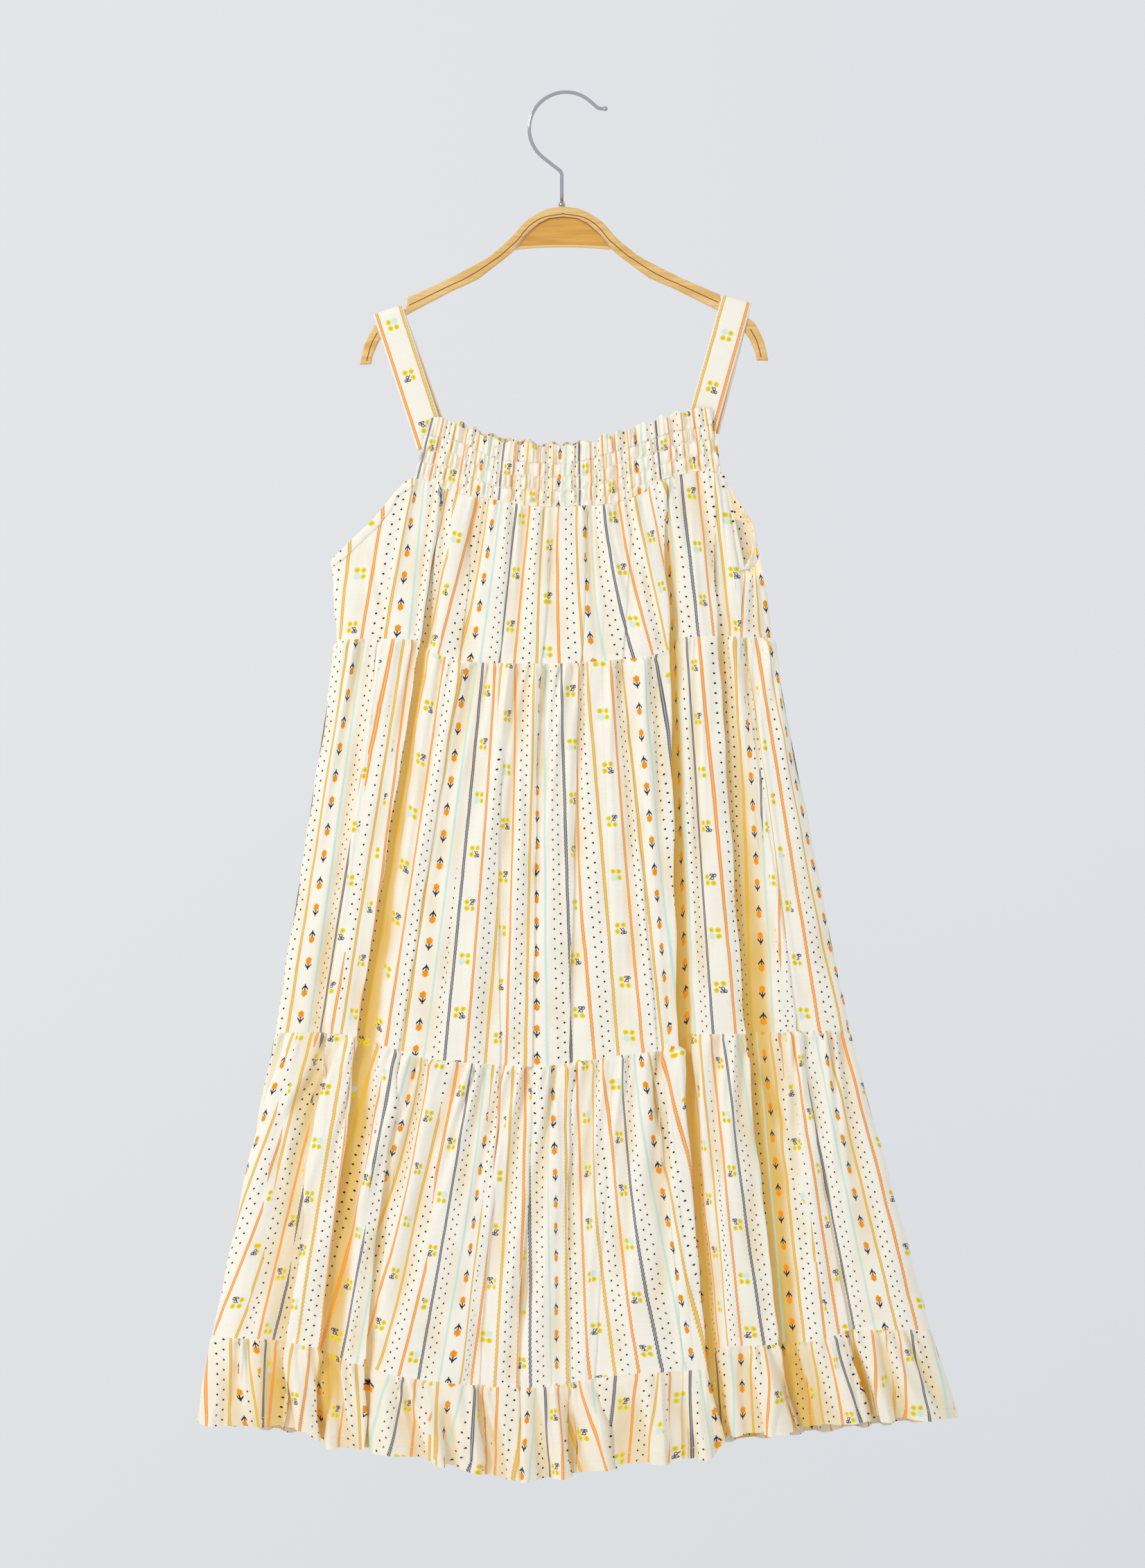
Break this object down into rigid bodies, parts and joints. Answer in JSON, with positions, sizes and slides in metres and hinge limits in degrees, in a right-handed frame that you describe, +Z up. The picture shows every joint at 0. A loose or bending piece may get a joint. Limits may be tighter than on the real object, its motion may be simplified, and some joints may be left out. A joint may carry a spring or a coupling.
{
  "type": "mini dress on a hanger",
  "caption": "Tiered sleeveless mini dress with a shirred yoke, wide straps and a hem ruffle, hung flat on a notched wooden hanger with a wire hook.",
  "frame": {"origin": "inside of the hook's top, where a rod or wall hook carries the hanger", "axes": "+Z up along the hanging dress, +X towards the viewer's right, -Y out of the dress's front"},
  "size_m": [0.5531, 0.058, 1.0129],
  "materials": {
    "cotton_print": "matt cotton with a fine printed stripe",
    "birch": "satin lacquer",
    "birch_web": "satin lacquer",
    "chrome": "bright"
  },
  "bodies": {
    "root": {"yoke_front": "cotton_print", "yoke_back": "cotton_print", "bodice_front": "cotton_print", "bodice_back": "cotton_print", "tier_2_front": "cotton_print", "tier_2_back": "cotton_print", "tier_3_front": "cotton_print", "tier_3_back": "cotton_print", "ruffle_front": "cotton_print", "ruffle_back": "cotton_print", "binding_left_front": "cotton_print", "binding_left_back": "cotton_print", "binding_right_front": "cotton_print", "binding_right_back": "cotton_print", "strap_left": "cotton_print", "strap_right": "cotton_print", "hanger_bow": "birch", "hanger_web": "birch_web", "hook_collar": "chrome", "hook_wire": "chrome"}
  },
  "joints": []
}
